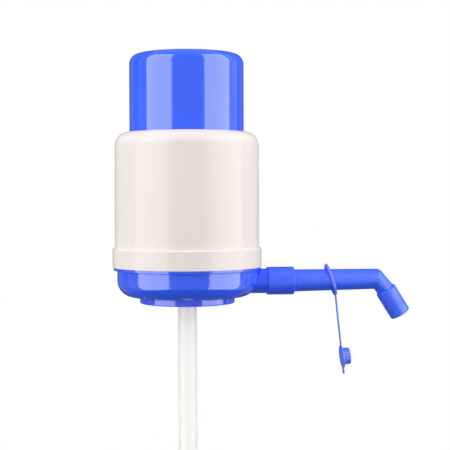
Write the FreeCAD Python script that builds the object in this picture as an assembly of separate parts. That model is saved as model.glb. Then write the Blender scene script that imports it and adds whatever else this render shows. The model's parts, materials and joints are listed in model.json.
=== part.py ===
"""Hand pump for a large water bottle: a press cap on a bellows, a collar for the bottle's neck,
a swivelling spout with a tethered plug, and a dip tube in three lengths. All sizes are in millimetres.

The origin is at the middle of the neck socket's mouth, +Z is up and the spout points along +X.
"""
import FreeCAD
import Part
import math
import os

Vector = FreeCAD.Vector

# Bottle neck and the socket that goes over it
neck_od = 55.0
neck_play = 0.3
socket_depth = 17.0
seal_height = 2.5
seal_width = 6.6
seal_play = 0.1

# Base collar
socket_chamfer = 0.8
ring_wall = 3.7
ring_height = 3.55
ring_edge = 0.8
bowl_r = 46.5
bowl_fillet = 10.5
bowl_slope = 10.0
base_wall = 2.2
flange_lip = 2.5
flange_height = 2.0
flange_edge = 0.5
seam_z = 24.0
spigot_height = 7.5
spigot_edge = 0.6
floor_height = 2.5
plenum_height = 11.0
vent_r = 2.0
vent_pitch_r = 15.0
vent_count = 5
vent_first_angle = 60.0
snap_bead = 0.45
snap_bead_z = 3.2
snap_bead_width = 1.8
outlet_pad_height = 0.3
outlet_pad_half_angle = 45.0

# Housing
band_lip = 0.6
band_height = 12.8
band_edge = 0.9
band_step = 1.55
housing_draft = 0.2
housing_top_z = 113.5
housing_ledge = 0.5
housing_wall = 2.2
guide_length = 14.0
guide_wall = 2.0
guide_corner = 0.2
opening_edge = 0.5
seam_edge = 0.3
spigot_play = 0.1
spigot_gap = 1.0

# Press cap and its stroke
cap_top_z = 165.0
cap_fillet = 6.5
cap_wall = 2.0
cap_play = 0.4
stop_gap = 0.3
stop_height = 2.4
stop_play = 0.5
stop_edge = 0.4
stroke = 45.0
rib_count = 8
rib_width = 1.6
rib_height = 3.0
rib_inner_r = 12.0
rib_lip_height = 2.6
rib_lip = 0.95
rib_root = 0.1

# Bellows
bellows_fold_depth = 6.5
bellows_wall = 1.3
bellows_folds = 10
bellows_neck = 6.0
bellows_flat = 1.0
bellows_lip_height = 1.6
bellows_foot_lip = 6.5
bellows_head_lip = 2.2

# Valve plates, clamp rings and screws
plate_height = 3.0
foot_plate_play = 2.3
foot_plate_rim = 3.5
foot_screw_reach = 4.5
head_plate_play = 0.4
head_plate_rim = 2.4
head_screw_reach = 2.5
clamp_height = 1.8
clamp_edge = 0.6
clamp_bite = 5.0
head_clamp_edge = 0.4
head_clamp_bite = 1.7
foot_lip_play = 0.3
head_lip_play = 0.2
screw_count = 4
screw_first_angle = 45.0
foot_screw_r = 1.5
head_screw_r = 1.0
screw_play = 0.1
thread_play = 0.02
screw_boss_r = 3.3
screw_bite = 9.0
screw_end_gap = 0.5
screw_head_ratio = 2.05
screw_height_ratio = 1.1
screw_slot_ratio = 0.35
screw_edge_ratio = 0.4
screw_tip_ratio = 0.3

# Rubber valve flaps
flap_r = 9.0
flap_height = 1.0
flap_travel = 1.2
flap_gap = 0.05
stem_r = 1.5
stem_play = 0.08
barb_r = 2.4
barb_height = 0.8
port_r = 1.7
port_pitch_r = 5.6
port_count = 6

# Water gallery from the dip tube to the outlet
gallery_bore_r = 3.2
gallery_width = 11.0
gallery_height = 8.0
gallery_roof = 0.9
riser_bore_r = 3.5
downpipe_offset = 1.45
downpipe_r = 5.2
downpipe_end_z = 15.5
downpipe_end_gap = 0.2
riser_boss_wall = 2.0
tube_boss_r = 8.7
tube_boss_end_z = 3.0
tube_stop_z = 20.0
tube_stop_gap = 0.3
tube_seal_height = 6.0
slip_play = 0.05

# Dip tube
tube_r = 6.2
tube_wall = 1.1
tube_length = 159.0
tube_count = 3
tube_gap = 1.2
joiner_wall = 1.45
joiner_length = 26.0
joiner_edge = 0.7
joiner_rib_gap = 0.1
foot_notch_r = 2.6

# Outlet stub and coupling
outlet_z = 14.0
stub_r = 8.25
stub_bore_r = 4.0
stub_root = 1.5
stub_length = 7.15
nipple_r = 6.2
nipple_length = 8.6
nipple_end_gap = 0.2
coupling_wall = 1.83
coupling_length = 17.9
coupling_edge = 0.9
swivel_play = 0.05
o_ring_wire_r = 0.6
o_ring_gap = 0.03
groove_ratio = 2.4

# Spout
spout_r = 7.45
spout_end_r = 6.7
spout_wall = 1.8
spout_seal_shares = (0.25, 0.6)
spout_start_gap = 0.5
spout_length = 58.6
spout_rise = 0.55
bend_angle = 58.0
bent_start_r = 6.35
bent_end_r = 5.55
bent_length = 17.2
nozzle_wall = 1.45
nozzle_length = 19.8
nozzle_overlap = 8.6
nozzle_edge = 0.8
nozzle_rib = 1.2
nozzle_play = 0.45
nozzle_end_gap = 0.2
mouth_edge = 0.3

# Plug and its tether
plug_r = 5.6
plug_depth = 4.8
plug_wall = 1.3
plug_play = 0.05
plug_edge = 0.7
plug_root = 0.1
plate_disc_lip = 2.1
plate_disc_height = 1.0
tab_length = 4.0
tab_width = 4.0
tether_place = 25.5
tether_lean = 17.3
tether_reach = 2.6
tether_play = 0.5
tether_band = 1.2
tether_band_width = 1.8
strap_lean = 6.0
strap_length = 33.0
strap_width = 3.0
strap_height = 0.95
strap_edge = 0.8
hinge_gap = 0.5

# Levels and sizes that follow from the values above
socket_r = neck_od / 2 + neck_play
ring_r = socket_r + ring_wall
bowl_inner_r = bowl_r - base_wall
flange_r = bowl_r + flange_lip
band_r = flange_r + band_lip
housing_foot_r = band_r - band_step
housing_top_r = housing_foot_r - housing_draft
housing_inner_r = housing_top_r - housing_wall
foot_plate_r = bowl_inner_r - foot_plate_play
foot_screw_pitch_r = foot_plate_r - foot_plate_rim
foot_lip_r = foot_screw_pitch_r - foot_screw_reach
bellows_root_r = foot_lip_r - bellows_foot_lip
bellows_crest_r = bellows_root_r + bellows_fold_depth
head_lip_r = bellows_root_r + bellows_head_lip
head_screw_pitch_r = head_lip_r + head_screw_reach
head_plate_r = head_screw_pitch_r + head_plate_rim
cap_inner_r = head_plate_r + head_plate_play + rib_lip
cap_r = cap_inner_r + cap_wall
opening_r = cap_r + cap_play
floor_z = socket_depth + seal_height
floor_top_z = floor_z + floor_height
plenum_top_z = floor_top_z + plenum_height
foot_plate_top_z = plenum_top_z + plate_height
spigot_top_z = seam_z + spigot_height
cap_roof_z = cap_top_z - cap_wall
head_plate_top_z = cap_roof_z - rib_height
head_plate_z = head_plate_top_z - plate_height
guide_end_z = housing_top_z - guide_length
stop_top_z = guide_end_z - stop_gap
downpipe_x = (socket_r + bowl_inner_r) / 2 + downpipe_offset
tube_inner_r = tube_r - tube_wall
coupling_bore_r = spout_r + swivel_play
coupling_r = coupling_bore_r + coupling_wall
stub_end_x = bowl_r + stub_length
nipple_end_x = stub_end_x + nipple_length
spout_start_x = nipple_end_x + spout_start_gap
coupling_end_x = stub_end_x + coupling_length
spout_bend_x = coupling_end_x + spout_length
tether_x = coupling_end_x + tether_place
tether_half_height = spout_r + tether_reach
mouth_r = plug_r + plug_play
nozzle_r = mouth_r + nozzle_wall
plate_disc_r = plug_r + plate_disc_lip
Z_AXIS = Vector(0, 0, 1)
X_AXIS = Vector(1, 0, 0)
Y_AXIS = Vector(0, 1, 0)


def at(x, y, z):
    return Vector(x, y, z)


def turned(vector, degrees, axis=Z_AXIS):
    """The vector turned about an axis through the origin."""
    return FreeCAD.Rotation(axis, degrees).multVec(vector)


def corner_edges(corners):
    """Edges of a closed outline in the XZ plane. A corner is (r, z) or (r, z, fillet radius)."""
    count = len(corners)
    stops = []
    for i, corner in enumerate(corners):
        here = at(corner[0], 0, corner[1])
        fillet = corner[2] if len(corner) > 2 else 0
        if not fillet:
            stops.append((here,))
            continue
        before = corners[i - 1]
        after = corners[(i + 1) % count]
        to_before = (at(before[0], 0, before[1]) - here).normalize()
        to_after = (at(after[0], 0, after[1]) - here).normalize()
        half = to_before.getAngle(to_after) / 2
        reach = fillet / math.tan(half)
        middle_way = (to_before + to_after).normalize()
        middle = here + middle_way * (fillet / math.sin(half) - fillet)
        stops.append((here + to_before * reach, middle, here + to_after * reach))
    edges = []
    for i, stop in enumerate(stops):
        if len(stop) == 3:
            edges.append(Part.Arc(*stop).toShape())
        following = stops[(i + 1) % count][0]
        if (following - stop[-1]).Length > 1e-6:
            edges.append(Part.LineSegment(stop[-1], following).toShape())
    return edges


def revolved(corners):
    """A solid of revolution about Z from an outline of (r, z) corners."""
    face = Part.Face(Part.Wire(corner_edges(corners)))
    return face.revolve(at(0, 0, 0), Z_AXIS, 360)


def along(solid, start, direction):
    """A solid built on the Z axis, laid along a direction from a start point."""
    moved = solid.copy()
    moved.Placement = FreeCAD.Placement(start, FreeCAD.Rotation(Z_AXIS, direction))
    return moved


def rod(radius, start, direction, length):
    return Part.makeCylinder(radius, length, start, direction)


def hole_circle(radius, pitch_r, count, z0, z1, first=0.0):
    """Upright rods on a pitch circle, for holes and bosses."""
    rods = []
    for i in range(count):
        foot = turned(at(pitch_r, 0, z0), first + 360.0 * i / count)
        rods.append(rod(radius, foot, Z_AXIS, z1 - z0))
    return rods


def bar(x0, x1, width, z0, z1):
    """A block that is centred on the XZ plane."""
    return Part.makeBox(x1 - x0, width, z1 - z0, at(x0, -width / 2, z0))


def fused(first, others):
    return first.multiFuse(others).removeSplitter()


def save(name, shape):
    shape.exportStep("parts/" + name + ".step")
    print(name, "solids", len(shape.Solids), "volume", round(shape.Volume, 1))


def o_ring_groove(shaft_r, wire_r, start, direction):
    """The ring of material that a groove on a shaft takes away, centred on start."""
    width = wire_r * groove_ratio
    begin = start - direction * (width / 2)
    outer = rod(shaft_r + wire_r, begin, direction, width)
    return outer.cut(rod(shaft_r - 2 * wire_r, begin, direction, width))


def o_ring(wall_r, wire_r, centre, direction):
    """A rubber ring that reaches just short of the wall it seals against."""
    return Part.makeTorus(wall_r - wire_r - o_ring_gap, wire_r, centre, direction)


# Base collar, its seal and the water gallery

def underside_z(r):
    return ring_height + (r - ring_r) * math.tan(math.radians(bowl_slope))


def outlet_pad():
    """The slightly raised part of the bowl's wall on both sides of the outlet."""
    foot_z = underside_z(bowl_r) + bowl_fillet
    height = seam_z - flange_height - foot_z
    pad = Part.makeCylinder(
        bowl_r + outlet_pad_height, height, at(0, 0, foot_z), Z_AXIS, 2 * outlet_pad_half_angle
    )
    pad.rotate(at(0, 0, 0), Z_AXIS, -outlet_pad_half_angle)
    return pad.cut(rod(bowl_r - base_wall / 2, at(0, 0, foot_z), Z_AXIS, height))


def base_collar():
    lift = base_wall / math.cos(math.radians(bowl_slope))
    bead_z = seam_z + snap_bead_z
    solid = revolved([
        (socket_r + socket_chamfer, 0),
        (ring_r, 0, ring_edge),
        (ring_r, underside_z(ring_r)),
        (bowl_r, underside_z(bowl_r), bowl_fillet),
        (bowl_r, seam_z - flange_height),
        (flange_r, seam_z - flange_height, flange_edge),
        (flange_r, seam_z),
        (bowl_r, seam_z),
        (bowl_r, bead_z),
        (bowl_r + snap_bead, bead_z + snap_bead),
        (bowl_r + snap_bead, bead_z + snap_bead_width - snap_bead),
        (bowl_r, bead_z + snap_bead_width),
        (bowl_r, spigot_top_z, spigot_edge),
        (bowl_inner_r, spigot_top_z),
        (bowl_inner_r, underside_z(bowl_inner_r) + lift, bowl_fillet - base_wall),
        (ring_r, underside_z(ring_r) + lift),
        (ring_r, plenum_top_z),
        (socket_r, plenum_top_z),
        (socket_r, floor_top_z),
        (tube_boss_r + slip_play, floor_top_z),
        (tube_boss_r + slip_play, floor_z),
        (socket_r, floor_z),
        (socket_r, socket_chamfer),
    ])
    boss_foot_z = underside_z(foot_screw_pitch_r) + lift / 2
    bosses = hole_circle(
        screw_boss_r,
        foot_screw_pitch_r,
        screw_count,
        boss_foot_z,
        plenum_top_z,
        screw_first_angle,
    )
    wall_inside_x = socket_r + stub_root
    stub = rod(stub_r, at(wall_inside_x, 0, outlet_z), X_AXIS, stub_end_x - wall_inside_x)
    nipple = rod(nipple_r, at(wall_inside_x, 0, outlet_z), X_AXIS, nipple_end_x - wall_inside_x)
    riser_boss_r = downpipe_r + slip_play + riser_boss_wall
    riser_boss = rod(riser_boss_r, at(downpipe_x, 0, outlet_z), Z_AXIS, floor_top_z - outlet_z)
    solid = fused(solid, bosses + [outlet_pad(), stub, nipple, riser_boss])
    seat_x = downpipe_x - stub_bore_r
    cuts = [
        rod(stub_bore_r, at(seat_x, 0, outlet_z), X_AXIS, nipple_end_x - seat_x),
        rod(gallery_bore_r, at(downpipe_x, 0, outlet_z), Z_AXIS, floor_top_z - outlet_z),
        rod(
            downpipe_r + slip_play,
            at(downpipe_x, 0, downpipe_end_z - downpipe_end_gap),
            Z_AXIS,
            floor_top_z - downpipe_end_z + downpipe_end_gap,
        ),
        bar(
            0,
            bowl_inner_r,
            gallery_width + 2 * slip_play,
            floor_top_z,
            plenum_top_z,
        ),
        o_ring_groove(nipple_r, o_ring_wire_r, nipple_seal_centre(), X_AXIS),
    ]
    cuts += hole_circle(vent_r, vent_pitch_r, vent_count, floor_z, floor_top_z, vent_first_angle)
    cuts += hole_circle(
        foot_screw_r + thread_play,
        foot_screw_pitch_r,
        screw_count,
        plenum_top_z - screw_bite - screw_end_gap,
        plenum_top_z,
        screw_first_angle,
    )
    return solid.cut(cuts)


def nipple_seal_centre():
    return at(stub_end_x + nipple_length / 2, 0, outlet_z)


def neck_seal():
    outer_r = socket_r - seal_play
    return revolved([
        (outer_r - seal_width, socket_depth),
        (outer_r, socket_depth),
        (outer_r, floor_z),
        (outer_r - seal_width, floor_z),
    ])


def downpipe_seal_centre():
    return at(downpipe_x, 0, (downpipe_end_z + floor_top_z) / 2)


def tube_seal_centre():
    return at(0, 0, tube_boss_end_z + tube_seal_height)


def water_gallery():
    top_z = floor_top_z + gallery_height
    duct_top_z = top_z - gallery_roof
    boss = rod(tube_boss_r, at(0, 0, tube_boss_end_z), Z_AXIS, top_z - tube_boss_end_z)
    duct = bar(0, downpipe_x, gallery_width, floor_top_z, top_z)
    duct_end = rod(
        gallery_width / 2, at(downpipe_x, 0, floor_top_z), Z_AXIS, gallery_height
    )
    downpipe = rod(
        downpipe_r, at(downpipe_x, 0, downpipe_end_z), Z_AXIS, top_z - downpipe_end_z
    )
    saddle = bar(socket_r, ring_r, gallery_width, floor_top_z, plenum_top_z)
    solid = fused(boss, [duct, duct_end, downpipe, saddle])
    seal_wall_r = tube_r + slip_play
    groove_width = o_ring_wire_r * groove_ratio
    seal_z = tube_seal_centre().z
    cuts = [
        rod(seal_wall_r, at(0, 0, tube_boss_end_z), Z_AXIS, tube_stop_z - tube_boss_end_z),
        rod(riser_bore_r, at(0, 0, tube_stop_z), Z_AXIS, duct_top_z - tube_stop_z),
        rod(
            gallery_bore_r, at(0, 0, duct_top_z - gallery_bore_r), X_AXIS, downpipe_x
        ),
        rod(
            riser_bore_r,
            at(downpipe_x, 0, downpipe_end_z),
            Z_AXIS,
            duct_top_z - downpipe_end_z,
        ),
        o_ring_groove(downpipe_r, o_ring_wire_r, downpipe_seal_centre(), Z_AXIS),
        rod(
            tube_seal_wall_r(),
            at(0, 0, seal_z - groove_width / 2),
            Z_AXIS,
            groove_width,
        ),
    ]
    return solid.cut(cuts)


def downpipe_seal():
    return o_ring(downpipe_r + slip_play, o_ring_wire_r, downpipe_seal_centre(), Z_AXIS)


def tube_seal_wall_r():
    return tube_r + 2 * o_ring_wire_r + slip_play


def tube_seal():
    return o_ring(tube_seal_wall_r(), o_ring_wire_r, tube_seal_centre(), Z_AXIS)


# Bellows with the plates, rings and screws that hold its two ends

def bellows():
    """Folds of one wall, from the foot plate to the head plate, with a lip at each end."""
    z0 = foot_plate_top_z
    z1 = head_plate_z
    pitch = (z1 - z0 - 2 * bellows_neck) / bellows_folds
    half_flat = bellows_flat / 2
    outside = [
        (foot_lip_r, z0),
        (foot_lip_r, z0 + bellows_lip_height),
        (bellows_root_r, z0 + bellows_lip_height),
    ]
    inside = [(bellows_root_r - bellows_wall, z0)]
    for fold in range(bellows_folds):
        low_z = z0 + bellows_neck + pitch * fold
        crest_z = low_z + pitch / 2
        for r, z in (
            (bellows_root_r, low_z + half_flat),
            (bellows_crest_r, crest_z - half_flat),
            (bellows_crest_r, crest_z + half_flat),
            (bellows_root_r, low_z + pitch - half_flat),
        ):
            outside.append((r, z))
            inside.append((r - bellows_wall, z))
    outside += [
        (bellows_root_r, z1 - bellows_lip_height),
        (head_lip_r, z1 - bellows_lip_height),
        (head_lip_r, z1),
    ]
    inside.append((bellows_root_r - bellows_wall, z1))
    return revolved(outside + inside[::-1])


def valve_plate(radius, bottom_z, screw_r, pitch_r):
    """A round plate with a valve's ports around the hole for its stem."""
    top_z = bottom_z + plate_height
    plate = rod(radius, at(0, 0, bottom_z), Z_AXIS, plate_height)
    cuts = hole_circle(port_r, port_pitch_r, port_count, bottom_z, top_z)
    cuts += hole_circle(
        screw_r + screw_play, pitch_r, screw_count, bottom_z, top_z, screw_first_angle
    )
    cuts.append(rod(stem_r + stem_play, at(0, 0, bottom_z), Z_AXIS, plate_height))
    return plate.cut(cuts)


def foot_plate():
    return valve_plate(foot_plate_r, plenum_top_z, foot_screw_r, foot_screw_pitch_r)


def head_plate():
    return valve_plate(head_plate_r, head_plate_z, head_screw_r, head_screw_pitch_r)


def foot_ring():
    """It presses the bellows' lower lip on the foot plate."""
    lip_top_z = foot_plate_top_z + bellows_lip_height
    outer_r = foot_lip_r + foot_lip_play
    inner_r = foot_lip_r - clamp_bite
    ring = revolved([
        (inner_r, lip_top_z),
        (outer_r, lip_top_z),
        (outer_r, foot_plate_top_z),
        (foot_plate_r, foot_plate_top_z),
        (foot_plate_r, lip_top_z + clamp_height, clamp_edge),
        (inner_r, lip_top_z + clamp_height, clamp_edge),
    ])
    holes = hole_circle(
        foot_screw_r + screw_play,
        foot_screw_pitch_r,
        screw_count,
        foot_plate_top_z,
        lip_top_z + clamp_height,
        screw_first_angle,
    )
    return ring.cut(holes)


def head_ring():
    """It holds the bellows' upper lip under the head plate."""
    lip_z = head_plate_z - bellows_lip_height
    outer_r = head_lip_r + head_lip_play
    inner_r = head_lip_r - head_clamp_bite
    ring = revolved([
        (inner_r, lip_z - clamp_height, head_clamp_edge),
        (head_plate_r, lip_z - clamp_height, head_clamp_edge),
        (head_plate_r, head_plate_z),
        (outer_r, head_plate_z),
        (outer_r, lip_z),
        (inner_r, lip_z),
    ])
    holes = hole_circle(
        head_screw_r + thread_play,
        head_screw_pitch_r,
        screw_count,
        lip_z - clamp_height,
        head_plate_z,
        screw_first_angle,
    )
    return ring.cut(holes)


def screws(radius, pitch_r, head_z, length):
    """Pan-head screws with a cross recess, heads up, on a pitch circle."""
    solids = []
    head_r = radius * screw_head_ratio
    head_height = radius * screw_height_ratio
    slot = radius * screw_slot_ratio
    edge = radius * screw_edge_ratio
    tip_r = radius * screw_tip_ratio
    for i in range(screw_count):
        foot = turned(at(pitch_r, 0, head_z), screw_first_angle + 360.0 * i / screw_count)
        head = rod(head_r, foot, Z_AXIS, head_height)
        head = head.makeFillet(edge, [max(head.Edges, key=lambda e: e.BoundBox.ZMin)])
        shank = rod(radius, foot - Z_AXIS * length, Z_AXIS, length)
        tip_foot = foot - Z_AXIS * (length + radius)
        tip = Part.makeCone(tip_r, radius, radius, tip_foot, Z_AXIS)
        screw = fused(head, [shank, tip])
        for angle in (0, 90):
            cross = Part.makeBox(
                radius * 2,
                slot,
                head_height,
                foot + at(-radius, -slot / 2, head_height / 2),
            )
            cross.rotate(foot, Z_AXIS, angle)
            screw = screw.cut(cross)
        solids.append(screw)
    return Part.makeCompound(solids)


def foot_screws():
    head_z = foot_plate_top_z + bellows_lip_height + clamp_height
    length = head_z - plenum_top_z + screw_bite - foot_screw_r
    return screws(foot_screw_r, foot_screw_pitch_r, head_z, length)


def head_screws():
    length = plate_height + bellows_lip_height + clamp_height - head_screw_r
    return screws(head_screw_r, head_screw_pitch_r, head_plate_top_z, length)


def valve_flap(plate_z):
    """A rubber disc under the plate's ports, with a stem up through the plate and a barb on top."""
    top_z = plate_z - flap_gap
    barb_z = plate_z + plate_height + flap_travel + flap_gap
    disc = rod(flap_r, at(0, 0, top_z - flap_height), Z_AXIS, flap_height)
    stem = rod(stem_r, at(0, 0, top_z), Z_AXIS, barb_z - top_z)
    barb = Part.makeCone(barb_r, stem_r, barb_height, at(0, 0, barb_z), Z_AXIS)
    return fused(disc, [stem, barb])


# Housing and press cap

def upper_housing():
    foot_inner_r = bowl_r + spigot_play
    step_z = spigot_top_z + spigot_gap
    band_top_z = seam_z + band_height
    groove_z = seam_z + snap_bead_z - spigot_play
    groove_width = snap_bead_width + 2 * spigot_play
    inner_top_z = housing_top_z - housing_wall
    guide_outer_r = opening_r + guide_wall
    shoulder_fillet = housing_top_r - opening_r - housing_ledge
    inner_fillet = housing_inner_r - guide_outer_r - guide_corner
    return revolved([
        (foot_inner_r, seam_z),
        (band_r, seam_z, seam_edge),
        (band_r, band_top_z, band_edge),
        (housing_foot_r, band_top_z, seam_edge),
        (housing_top_r, housing_top_z, shoulder_fillet),
        (opening_r, housing_top_z, opening_edge),
        (opening_r, guide_end_z),
        (guide_outer_r, guide_end_z),
        (guide_outer_r, inner_top_z),
        (housing_inner_r, inner_top_z, inner_fillet),
        (housing_inner_r, step_z + spigot_gap),
        (foot_inner_r, step_z),
        (foot_inner_r, groove_z + groove_width),
        (foot_inner_r + snap_bead, groove_z + groove_width - snap_bead),
        (foot_inner_r + snap_bead, groove_z + snap_bead),
        (foot_inner_r, groove_z),
    ])


def push_cap():
    stop_r = housing_inner_r - stop_play
    shell = revolved([
        (0, cap_roof_z),
        (cap_inner_r, cap_roof_z, cap_fillet - cap_wall),
        (cap_inner_r, stop_top_z - stop_height),
        (stop_r, stop_top_z - stop_height, stop_edge),
        (stop_r, stop_top_z, stop_edge),
        (cap_r, stop_top_z),
        (cap_r, cap_top_z, cap_fillet),
        (0, cap_top_z),
    ])
    ribs = []
    for i in range(rib_count):
        angle = 360.0 * (i + 0.5) / rib_count
        rib = bar(rib_inner_r, cap_inner_r, rib_width, head_plate_top_z, cap_roof_z)
        lip_x = cap_inner_r - rib_lip
        lip = bar(lip_x, cap_inner_r, rib_width, head_plate_top_z - rib_lip_height, cap_roof_z)
        for piece in (rib, lip):
            piece.rotate(at(0, 0, 0), Z_AXIS, angle)
            ribs.append(piece)
    rim_r = cap_inner_r + rib_root
    rim_top_z = cap_roof_z + rib_root
    rim_foot_z = head_plate_top_z - 2 * rib_lip_height
    rim = revolved([
        (0, rim_foot_z),
        (rim_r, rim_foot_z),
        (rim_r, rim_top_z, cap_fillet - cap_wall),
        (0, rim_top_z),
    ])
    ribs = [rib.common(rim) for rib in ribs]
    return fused(shell, ribs)


# Outlet coupling and spout

def nipple_seal():
    return o_ring(nipple_r + slip_play, o_ring_wire_r, nipple_seal_centre(), X_AXIS)


def spout_coupling():
    solid = revolved([
        (nipple_r + slip_play, 0),
        (coupling_r, 0),
        (coupling_r, coupling_length, coupling_edge),
        (coupling_bore_r, coupling_length),
        (coupling_bore_r, nipple_length + nipple_end_gap),
        (nipple_r + slip_play, nipple_length + nipple_end_gap),
    ])
    return along(solid, at(stub_end_x, 0, outlet_z), X_AXIS)


def bend_centre():
    return at(spout_bend_x, 0, outlet_z + spout_rise)


def spout_direction():
    """Way of the tapering tube, from the coupling's mouth to the bend."""
    return (bend_centre() - at(coupling_end_x, 0, outlet_z)).normalize()


def nozzle_direction():
    return turned(X_AXIS, bend_angle, Y_AXIS)


def bent_tube(shrink):
    """The spout's outside, or its bore when shrink is the wall: straight end, taper, ball, bent end."""
    start = at(spout_start_x, 0, outlet_z)
    mouth = at(coupling_end_x, 0, outlet_z)
    bend = bend_centre()
    wide_r = spout_r - shrink
    narrow_r = spout_end_r - shrink
    rims = [
        Part.Wire(Part.makeCircle(wide_r, mouth, X_AXIS)),
        Part.Wire(Part.makeCircle(narrow_r, bend, X_AXIS)),
    ]
    return fused(
        rod(wide_r, start, X_AXIS, coupling_end_x - spout_start_x),
        [
            Part.makeLoft(rims, True, True),
            Part.makeSphere(narrow_r, bend, X_AXIS, 0, 90, 360),
            Part.makeCone(
                bent_start_r - shrink,
                bent_end_r - shrink,
                bent_length,
                bend,
                nozzle_direction(),
            ),
        ],
    )


def spout_seal_centres():
    span = coupling_end_x - spout_start_x
    return [at(spout_start_x + span * share, 0, outlet_z) for share in spout_seal_shares]


def spout_tube():
    solid = bent_tube(0).cut(bent_tube(spout_wall))
    return solid.cut([
        o_ring_groove(spout_r, o_ring_wire_r, centre, X_AXIS)
        for centre in spout_seal_centres()
    ])


def spout_seals():
    rings = [
        o_ring(coupling_bore_r, o_ring_wire_r, centre, X_AXIS)
        for centre in spout_seal_centres()
    ]
    return Part.makeCompound(rings)


def nozzle_start():
    return bend_centre() + nozzle_direction() * (bent_length - nozzle_overlap)


def spout_nozzle():
    """A sleeve over the bent end, with a wider mouth that takes the plug."""
    seat = nozzle_overlap + nozzle_end_gap
    sleeve = revolved([
        (bent_end_r - spout_wall, seat),
        (bent_end_r + nozzle_play, seat),
        (bent_end_r + nozzle_play, 0),
        (nozzle_r, 0, nozzle_edge),
        (nozzle_r, nozzle_length, nozzle_edge),
        (mouth_r, nozzle_length, mouth_edge),
        (mouth_r, seat + nozzle_rib),
        (bent_end_r - spout_wall, seat + nozzle_rib),
    ])
    return along(sleeve, nozzle_start(), nozzle_direction())


# Plug and tether

def spout_axis_z(x):
    direction = spout_direction()
    return outlet_z + (x - coupling_end_x) * direction.z / direction.x


def ring_centre():
    return at(tether_x, 0, spout_axis_z(tether_x))


def ring_down():
    """From the ring's middle to its lowest point, in the plane of the ring."""
    return turned(at(0, 0, -1), -tether_lean, Y_AXIS)


def arc_wire(half_height, half_width):
    """Two arcs that meet in a point at the top and at the bottom, in the XY plane."""
    top = at(half_height, 0, 0)
    bottom = at(-half_height, 0, 0)
    left = Part.Arc(top, at(0, half_width, 0), bottom).toShape()
    right = Part.Arc(bottom, at(0, -half_width, 0), top).toShape()
    return Part.Wire([left, right])


def tether_ring():
    """A thin band around the spout, a little pointed where the strap pulls it."""
    half_width = spout_r + tether_play
    outer = Part.Face(arc_wire(tether_half_height + tether_band, half_width + tether_band))
    inner = Part.Face(arc_wire(tether_half_height, half_width))
    height = at(0, 0, tether_band_width)
    band = outer.extrude(height).cut(inner.extrude(height))
    band.translate(at(0, 0, -tether_band_width / 2))
    frame = FreeCAD.Rotation(ring_down(), Y_AXIS, ring_down().cross(Y_AXIS), "XYZ")
    band.Placement = FreeCAD.Placement(ring_centre(), frame).multiply(band.Placement)
    return band


def strap_down():
    return turned(at(0, 0, -1), -strap_lean, Y_AXIS)


def strap_top():
    """The strap bends in the gap that is left under the ring."""
    ring_foot = ring_centre() + ring_down() * (tether_half_height + tether_band)
    return ring_foot + strap_down() * hinge_gap


def strap_plane(origin):
    """Placement with X down the strap, Y across it and Z out of its face."""
    rotation = FreeCAD.Rotation(strap_down(), Y_AXIS, strap_down().cross(Y_AXIS), "XYZ")
    return FreeCAD.Placement(origin, rotation)


def tether_strap():
    strap = Part.makeBox(
        strap_length,
        strap_width,
        strap_height,
        at(0, -strap_width / 2, -strap_height / 2),
    )
    ends = [e for e in strap.Edges if abs(e.BoundBox.XLength) < 1e-6 and e.BoundBox.ZLength > 0.1]
    strap = strap.makeFillet(strap_edge, ends)
    strap.Placement = strap_plane(strap_top())
    return strap


def spout_plug():
    """A disc with the plug on one face and a pull tab under it."""
    half = plate_disc_height / 2
    middle = strap_length + hinge_gap + plate_disc_r
    disc = rod(plate_disc_r, at(middle, 0, -half), Z_AXIS, plate_disc_height)
    tab = Part.makeBox(
        plate_disc_r + tab_length,
        tab_width,
        plate_disc_height,
        at(middle, -tab_width / 2, -half),
    )
    stopper = revolved([
        (0, half - plug_root),
        (plug_r, half - plug_root),
        (plug_r, half + plug_depth, plug_edge),
        (plug_r - plug_wall, half + plug_depth, mouth_edge),
        (plug_r - plug_wall, half + plug_wall),
        (0, half + plug_wall),
    ])
    stopper.translate(at(middle, 0, 0))
    plug = fused(disc, [tab, stopper])
    plug.Placement = strap_plane(strap_top())
    return plug


# Dip tube

def tube_top_z(index):
    return tube_stop_z - tube_stop_gap - index * (tube_length + tube_gap)


def dip_tube(index):
    top = at(0, 0, tube_top_z(index) - tube_length)
    tube = rod(tube_r, top, Z_AXIS, tube_length)
    tube = tube.cut(rod(tube_inner_r, top, Z_AXIS, tube_length))
    if index == tube_count - 1:
        notches = [
            rod(foot_notch_r, top - X_AXIS * 2 * tube_r, X_AXIS, 4 * tube_r),
            rod(foot_notch_r, top - Y_AXIS * 2 * tube_r, Y_AXIS, 4 * tube_r),
        ]
        tube = tube.cut(notches)
    return tube


def tube_joiner(index):
    """A sleeve over two tube ends, with a rib between them."""
    middle_z = tube_top_z(index) - tube_length - tube_gap / 2
    rib = tube_gap / 2 - joiner_rib_gap
    bore_r = tube_r + slip_play
    joiner_r = bore_r + joiner_wall
    half = joiner_length / 2
    return revolved([
        (bore_r, middle_z - half),
        (joiner_r, middle_z - half, joiner_edge),
        (joiner_r, middle_z + half, joiner_edge),
        (bore_r, middle_z + half),
        (bore_r, middle_z + rib),
        (tube_inner_r, middle_z + rib),
        (tube_inner_r, middle_z - rib),
        (bore_r, middle_z - rib),
    ])


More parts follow.
